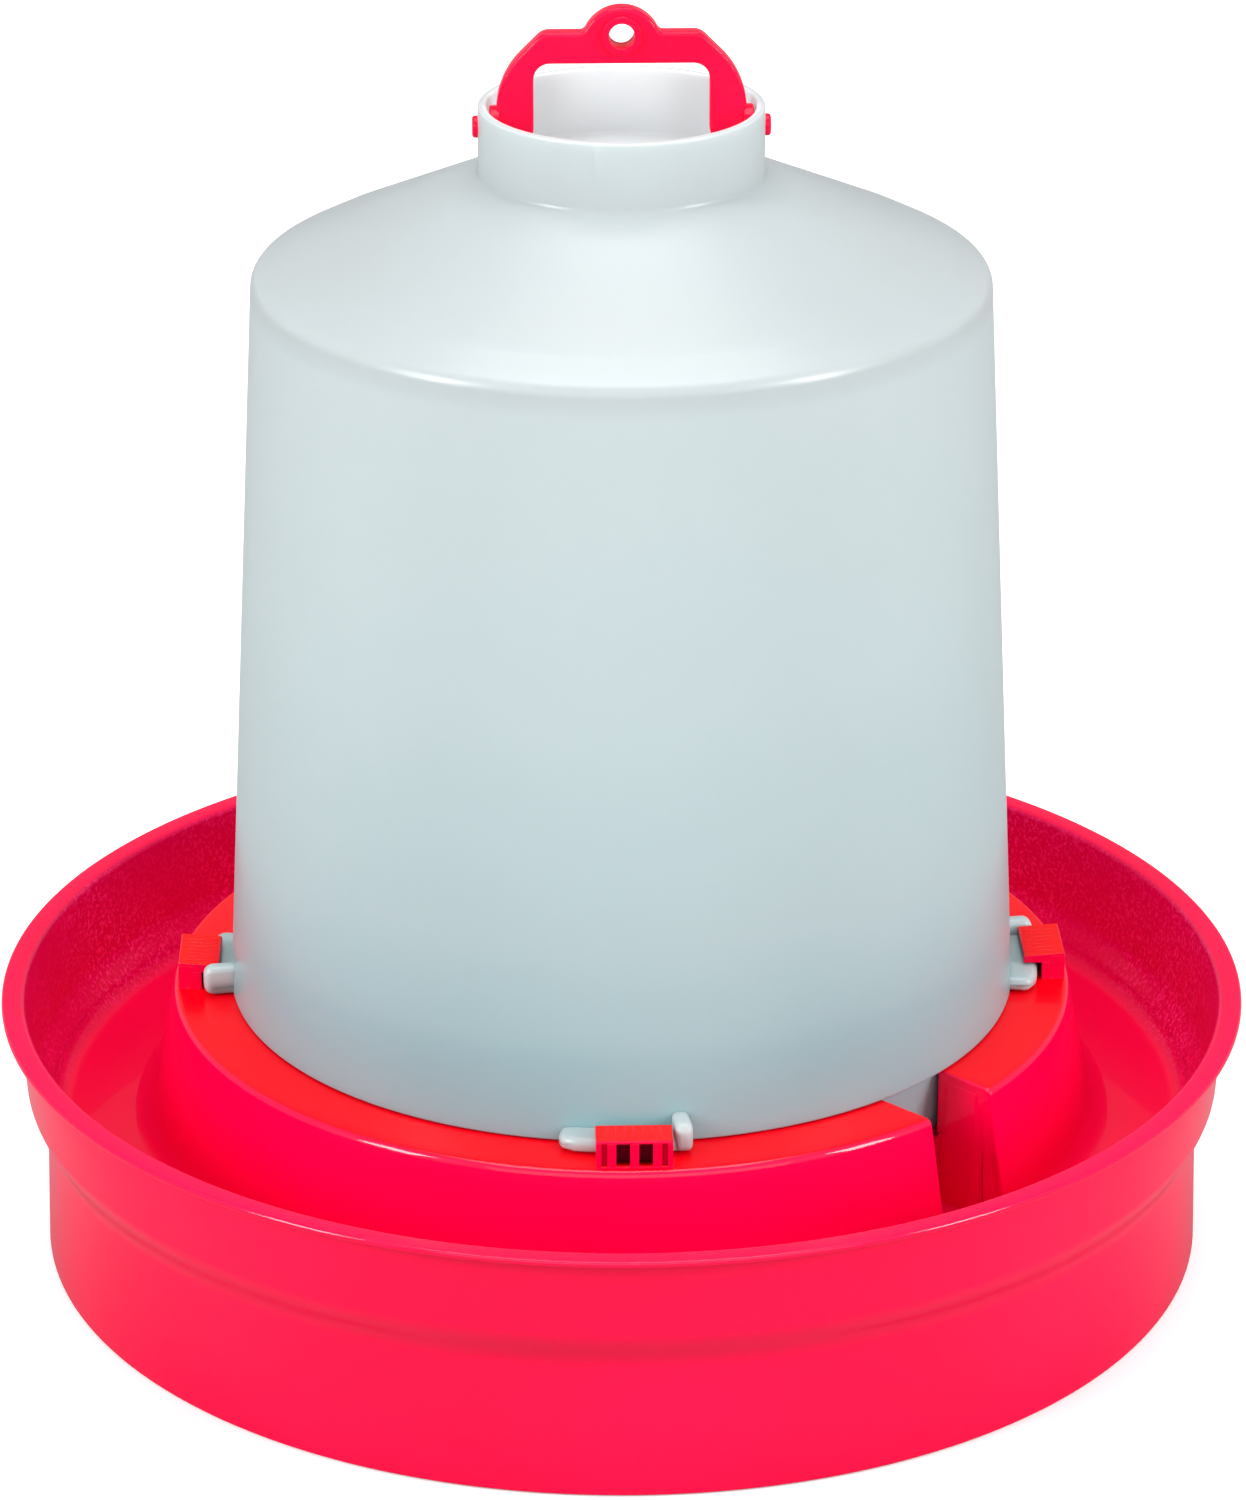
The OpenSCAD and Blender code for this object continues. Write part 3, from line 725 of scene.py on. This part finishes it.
def buildJugLug(name, turn):
    # the bar under the clip, drawn in at its leading end, and the upright stop fin at its heel
    bar = softBar(-lug["lead"], lug["heel"], lug["outR"], lug["lowZ"], lug["topZ"], lug["barRound"],
                  lug["tip"])
    fin = softBar(lug["finStart"], lug["heel"], lug["finR"], lug["lowZ"], lug["finTop"], lug["finRound"])
    verts, faces = joined([bar, fin])
    return makePiece(name, turnPoints(verts, turn), faces, milkyLug, sharpDeg=60)


bail = {
    "edge": 0.8, "edgeSteps": 3, "windowRound": 4.0, "bigArc": 20.4, "bigArcUp": 4.1, "topRound": 4.1,
    "hubR": 9.8, "hubFillet": 1.6, "holeR": 3.1, "holeZ": 318.5, "holeSteps": 48,
    "ringR": 4.9, "ringRise": 0.9, "ringIn": 0.05, "ringSteps": 64,
    "pinR": 2.7, "pinRound": 0.7, "pinSteps": 48, "pinStart": 0.6, "shoulderR": 5.2, "shoulderEnd": 32.2,
}


def bailOutline():
    # right half from the leg's inside up to the hub's top, then mirrored
    pivotZ = (pinLow[2] + pinHigh[2]) / 2
    halfW, windowW = legHigh[0], legLow[0] + bail["windowRound"]
    gripZ, topZ, hubTop = gripLow[2], gripHigh[2], hubHigh[2]
    endR = (halfW - windowW) / 2
    arcX, arcZ = halfW - bail["bigArc"], pivotZ + bail["bigArcUp"]
    root2 = math.sqrt(2)
    roundZ = topZ - bail["topRound"]
    roundX = arcX + arcZ + bail["bigArc"] * root2 - bail["topRound"] * root2 - roundZ
    hubZ = hubTop - bail["hubR"]
    fillet = bail["hubFillet"]
    reach = math.sqrt((bail["hubR"] + fillet) ** 2 - (topZ + fillet - hubZ) ** 2)
    touch = math.degrees(math.atan2(topZ + fillet - hubZ, reach))
    half = np.vstack([
        arcPoints(windowW - bail["windowRound"], gripZ - bail["windowRound"], bail["windowRound"], 90, 0, 9),
        arcPoints(windowW + endR, pivotZ, endR, 180, 360, 20),
        arcPoints(arcX, arcZ, bail["bigArc"], 0, 45, 16),
        arcPoints(roundX, roundZ, bail["topRound"], 45, 90, 8),
        arcPoints(reach, topZ + fillet, fillet, 270, 180 + touch, 6),
        arcPoints(0, hubZ, bail["hubR"], touch, 90, 14),
    ])
    mirrored = half[-2::-1] * [-1, 1]
    return np.vstack([half, mirrored])


def buildBail():
    # flat outline with its hanging hole, filled, given thickness and rounded edges, then stood upright
    thickness = legHigh[1] - legLow[1]
    curve = bpy.data.curves.new("bail_plate", "CURVE")
    curve.dimensions = "2D"
    curve.fill_mode = "BOTH"
    lastDeg = 360 - 360 / bail["holeSteps"]
    holeRing = arcPoints(0, bail["holeZ"], bail["holeR"], 0, lastDeg, bail["holeSteps"])
    for points in (bailOutline(), holeRing):
        spline = curve.splines.new("POLY")
        spline.points.add(len(points) - 1)
        flat = np.column_stack([points * mm, np.zeros(len(points)), np.ones(len(points))])
        spline.points.foreach_set("co", flat.ravel())
        spline.use_cyclic_u = True
    curve.bevel_depth = bail["edge"] * mm
    curve.bevel_resolution = bail["edgeSteps"]
    curve.offset = -bail["edge"] * mm
    curve.extrude = (thickness / 2 - bail["edge"]) * mm
    holder = bpy.data.objects.new("bailCurve", curve)
    bpy.context.scene.collection.objects.link(holder)
    bpy.context.view_layer.update()
    solid = holder.evaluated_get(bpy.context.evaluated_depsgraph_get())
    mesh = bpy.data.meshes.new_from_object(solid)
    flat = np.empty(len(mesh.vertices) * 3)
    mesh.vertices.foreach_get("co", flat)
    flat = flat.reshape(-1, 3)
    verts = np.column_stack([flat[:, 0], -flat[:, 2], flat[:, 1]]) / mm
    faces = [list(p.vertices) for p in mesh.polygons]
    bpy.data.objects.remove(holder)
    # raised rings round the hole, on both faces
    innerR, rise = bail["holeR"] + bail["ringIn"], bail["ringRise"]
    ring = softOutline([(innerR, 0, 0), (bail["ringR"], 0, 0), (bail["ringR"], rise, 0.35),
                        (innerR, rise, 0.3)])
    parts = [(verts, faces)]
    steps = bail["ringSteps"]
    a = np.linspace(0, 2 * np.pi, steps, endpoint=False)[:, None]
    for face in (-1, 1):
        y = np.broadcast_to(face * (thickness / 2 + ring[:, 1] - 0.02), (steps, len(ring)))
        ringVerts = np.stack([ring[:, 0] * np.cos(a), y, bail["holeZ"] + ring[:, 0] * np.sin(a)], -1)
        ringFaces = gridFaces(steps, len(ring), wrapRows=True, wrapCols=True)
        parts.append((ringVerts.reshape(-1, 3), ringFaces[:, ::-1] if face < 0 else ringFaces))
    verts, faces = joined(parts)
    return makePiece("bail_plate_piece", verts, faces, bailRed, sharpDeg=40)


def buildPin(name, side):
    # round shoulder against the leg and a bevelled pin through the collar, turned about X
    pivotZ = (pinLow[2] + pinHigh[2]) / 2
    start, end, radius = legHigh[0] - bail["pinStart"], pinHigh[0], bail["pinR"]
    broad, stop = bail["shoulderR"], bail["shoulderEnd"]
    outline = softOutline([(0.01, start, 0), (broad, start, 0), (broad, stop, 0.5), (radius, stop, 0.3),
                           (radius, end, bail["pinRound"]), (0.01, end, 0)])
    steps = bail["pinSteps"]
    a = np.linspace(0, 2 * np.pi, steps, endpoint=False)[:, None]
    r, x = outline[:, 0], np.broadcast_to(outline[:, 1] * side, (steps, len(outline)))
    verts = np.stack([x, r * np.cos(a), pivotZ + r * np.sin(a)], -1).reshape(-1, 3)
    faces = gridFaces(steps, len(outline), wrapRows=True, wrapCols=True)
    return makePiece(name, verts, faces if side < 0 else faces[:, ::-1], bailRed)


panTrough = buildPanTrough()
panPlinth = buildPanPlinth()
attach(panTrough, "pan")
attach(panPlinth, "pan")
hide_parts("trough_wall", "wall_step", "foot_skirt", "trough_floor")
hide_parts("plinth_wall", "plinth_ledge", "well_wall", "outlet_channel")
sides = {"front": -90, "right": 0, "back": 90, "left": 180}
for side, turn in sides.items():
    lockClip = buildLockClip("clip_" + side, turn, "lock_clip_" + side)
    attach(lockClip, "pan")
    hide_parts("lock_clip_" + side)
    jugLug = buildJugLug("lug_" + side, turn)
    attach(jugLug, "jug")
    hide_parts("jug_lug_" + side)
print("pan, clips and lugs made")

jugShell = buildJugShell()
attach(jugShell, "jug")
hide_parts("jug_side", "jug_shoulder", "jug_skirt", "neck_collar", "neck_floor")
print("jug made")

bailPlate = buildBail()
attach(bailPlate, "bail")
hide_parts("grip_arm_left", "grip_arm_right", "bail_hub", "bail_leg_left",
            "bail_leg_right")
for side, sign in (("left", -1), ("right", 1)):
    pin = buildPin("pin_" + side, sign)
    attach(pin, "bail")
    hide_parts("pivot_pin_" + side)
print("bail made")

# the well's platform keeps its CAD shape
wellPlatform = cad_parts["well_platform"]
wellPlatform.data.materials.clear()
wellPlatform.data.materials.append(platformRed)


stage = {
    # metres; the floor glows by two amounts, up to and beyond two distances from the object
    "floorSize": 6.0, "floorSink": 0.0004, "floorSeen": (0.98, 0.98, 0.98), "floorCast": (0.42, 0.42, 0.42),
    "nearGlow": 0.28, "farGlow": 0.7, "nearM": 0.6, "farM": 2.2, "roughness": 0.9, "specular": 0.1,
    "seen": 1.0, "cast": 0.42, "aim": (0, 0, 0.15),
    # each light's place, size and power
    "lights": {
        "softLeft": ((-1.35, -0.80, 0.85), (0.45, 0.8), 19.5),
        "softRight": ((1.35, -0.80, 0.75), (0.40, 0.8), 17),
        "softTop": ((0, 0.1, 1.7), (1.1, 1.1), 15),
        "softFront": ((0.1, -1.9, 0.75), (2.8, 1.3), 13),
        "softBack": ((0.0, 1.9, 0.80), (2.6, 1.2), 11),
    },
}


def buildFloor():
    # pale to the camera, dimmer in the object's reflections and bounced light
    material, tree, shader = startMaterial("paleFloor")
    seen = addNode(tree, "LightPath").outputs["Is Camera Ray"]
    # the floor stays pale close to the red wall and far away
    glow = mapRange(tree, vectorOf(tree, "LENGTH", objectPlace(tree)), stage["nearM"], stage["farM"],
                    stage["nearGlow"], stage["farGlow"])
    feed(tree, shader, {
        "Base Color": mixColors(tree, seen, stage["floorCast"], stage["floorSeen"]),
        "Emission Strength": mathOf(tree, "MULTIPLY", glow, seen), "Emission Color": (1, 1, 1),
        "Roughness": stage["roughness"], "Specular IOR Level": stage["specular"]})
    corners = np.array([[-1, -1, 0], [1, -1, 0], [1, 1, 0], [-1, 1, 0]]) * stage["floorSize"] / mm
    floor = makePiece("studio_floor", corners, [[0, 1, 2, 3]], material)
    floor.location.z = -stage["floorSink"]


def areaLight(name, place, target, width, height, power):
    data = bpy.data.lights.new(name, "AREA")
    data.shape = "RECTANGLE"
    data.size, data.size_y = width, height
    data.energy = power
    lamp = bpy.data.objects.new(name, data)
    lamp.location = place
    lamp.rotation_mode = "QUATERNION"
    lamp.rotation_quaternion = (Vector(target) - Vector(place)).to_track_quat("-Z", "Y")
    bpy.context.scene.collection.objects.link(lamp)
    return lamp


def buildWorld():
    # the camera sees plain white; the object is lit and mirrored by a dimmer white
    world = bpy.data.worlds.new("paleStudio")
    world.use_nodes = True
    tree = world.node_tree
    seen, cast = tree.nodes["Background"], addNode(tree, "Background")
    feed(tree, seen, {"Color": (1, 1, 1), "Strength": stage["seen"]})
    feed(tree, cast, {"Color": (1, 1, 1), "Strength": stage["cast"]})
    cameraRay = addNode(tree, "LightPath").outputs["Is Camera Ray"]
    mix = addNode(tree, "MixShader", {0: cameraRay, 1: cast.outputs[0], 2: seen.outputs[0]})
    feed(tree, tree.nodes["World Output"], {"Surface": mix.outputs[0]})
    bpy.context.scene.world = world


buildFloor()
buildWorld()
for name, (place, size, power) in stage["lights"].items():
    lamp = areaLight(name, place, stage["aim"], *size, power)
    lamp.visible_glossy = name != "softBack"  # the light from behind gives no reflection
bpy.context.scene.view_settings.view_transform = "Standard"

view = {"place": (-0.0363, -1.2986, 0.6710), "target": (0.0, 0.0, 0.1307), "lens": 132.44, "shiftX": 0.001}
cameraData = bpy.data.cameras.new("viewCamera")
cameraData.lens = view["lens"]
cameraData.sensor_width = 36.0
cameraData.shift_x = view["shiftX"]
cameraData.dof.use_dof = False
camera = bpy.data.objects.new("viewCamera", cameraData)
camera.location = view["place"]
camera.rotation_mode = "QUATERNION"
camera.rotation_quaternion = (Vector(view["target"]) - Vector(view["place"])).to_track_quat("-Z", "Y")
bpy.context.scene.collection.objects.link(camera)
bpy.context.scene.camera = camera
print("stage made")

bpy.context.view_layer.update()
